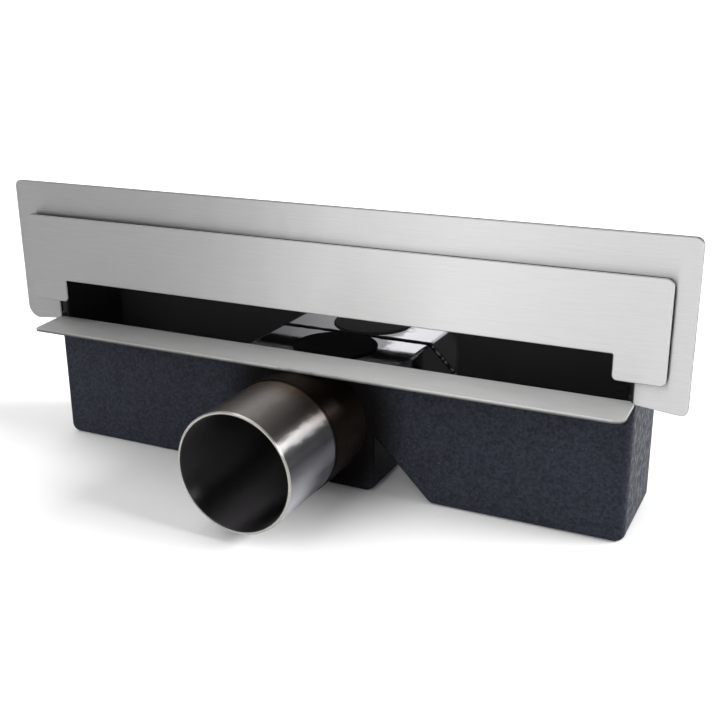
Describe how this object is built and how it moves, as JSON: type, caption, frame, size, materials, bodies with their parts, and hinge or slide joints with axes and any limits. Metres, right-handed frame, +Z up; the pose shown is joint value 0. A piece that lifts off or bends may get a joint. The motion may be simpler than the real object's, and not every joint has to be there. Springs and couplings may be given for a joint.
{
  "type": "linear shower drain",
  "caption": "Wall-type linear shower drain: flat steel flange and notched cover over a coated tank with a built-in water trap, floor lip and front outlet pipe.",
  "frame": {"origin": "middle of the underside of the outlet chamber, half-way through the depth of the tank", "axes": "+X along the drain to the right as seen from the room, -Y towards the room and along the outlet pipe, +Z up"},
  "size_m": [0.306, 0.1081, 0.1212],
  "materials": {
    "flange_steel": "stainless sheet, fine brushing along the length",
    "cover_steel": "stainless sheet, fine brushing along the length",
    "lip_steel": "stainless sheet, fine brushing along the lip",
    "tank_steel": "bright rolled stainless sheet",
    "hood_steel": "bright rolled stainless sheet, almost a mirror",
    "weld": "rippled weld run",
    "pipe_steel": "tube polished round, tinted by heat near the tank",
    "magnet": "nickel-plated disc",
    "plug_rubber": "moulded black rubber",
    "sound_coat": "sprayed sound-deadening coat with a fine grain"
  },
  "bodies": {
    "root": {"wall_flange": "flange_steel", "cover_plate": "cover_steel", "cover_magnets": "magnet", "front_wall": "lip_steel", "back_sheet": "tank_steel", "end_plate_left": "tank_steel", "end_plate_right": "tank_steel", "floor_pan": "tank_steel", "siphon_hood": "hood_steel", "hood_welds": "weld", "cleaning_plug": "plug_rubber", "outlet_pipe": "pipe_steel", "sound_coat": "sound_coat", "coat_soles": "sound_coat"}
  },
  "joints": []
}
